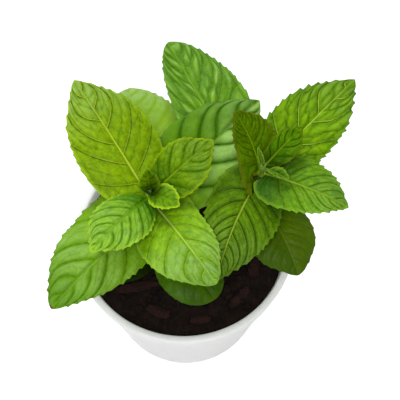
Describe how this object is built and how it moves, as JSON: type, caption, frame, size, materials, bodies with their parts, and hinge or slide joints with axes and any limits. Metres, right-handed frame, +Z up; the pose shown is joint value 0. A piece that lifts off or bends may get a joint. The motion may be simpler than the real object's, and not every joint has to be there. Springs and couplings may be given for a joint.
{
  "type": "potted mint herb",
  "caption": "Young leafy mint-like herb with toothed, quilted leaves in opposite pairs, growing in dark soil in a plain white tapered pot with a flat base.",
  "frame": {"origin": "centre of the pot's flat underside, where it stands on a surface", "axes": "+Z up through the pot's axis; the front of the plant faces -Y and +X is to its right, seen from the front"},
  "size_m": [0.1335, 0.1309, 0.1566],
  "materials": {
    "white_pot": "smooth moulded plastic, satin",
    "potting_soil": "moist, dark, crumbly",
    "young_stem": "matt, slightly hairy",
    "fresh_leaf": "soft satin, quilted between the veins",
    "old_leaf": "soft satin, darker",
    "bark": "rough, fibrous"
  },
  "bodies": {
    "root": {"pot": "white_pot", "soil": "potting_soil", "stem_left": "young_stem", "stem_right": "young_stem", "leaf_left_1a": "fresh_leaf", "leaf_left_1b": "fresh_leaf", "leaf_left_2a": "fresh_leaf", "leaf_left_2b": "fresh_leaf", "leaf_left_3a": "fresh_leaf", "leaf_left_3b": "fresh_leaf", "leaf_left_4a": "fresh_leaf", "leaf_left_4b": "fresh_leaf", "leaf_left_5a": "fresh_leaf", "leaf_left_5b": "old_leaf", "leaf_left_6a": "old_leaf", "leaf_right_1a": "fresh_leaf", "leaf_right_1b": "fresh_leaf", "leaf_right_2a": "old_leaf", "leaf_right_2b": "fresh_leaf", "leaf_right_3a": "fresh_leaf", "leaf_right_3b": "fresh_leaf", "leaf_right_4a": "fresh_leaf", "leaf_right_4b": "old_leaf", "bud_left": "young_stem", "bud_right": "young_stem", "bark_chip_1": "bark", "bark_chip_2": "bark", "bark_chip_3": "bark", "bark_chip_4": "bark", "bark_chip_5": "bark", "bark_chip_6": "bark"}
  },
  "joints": []
}
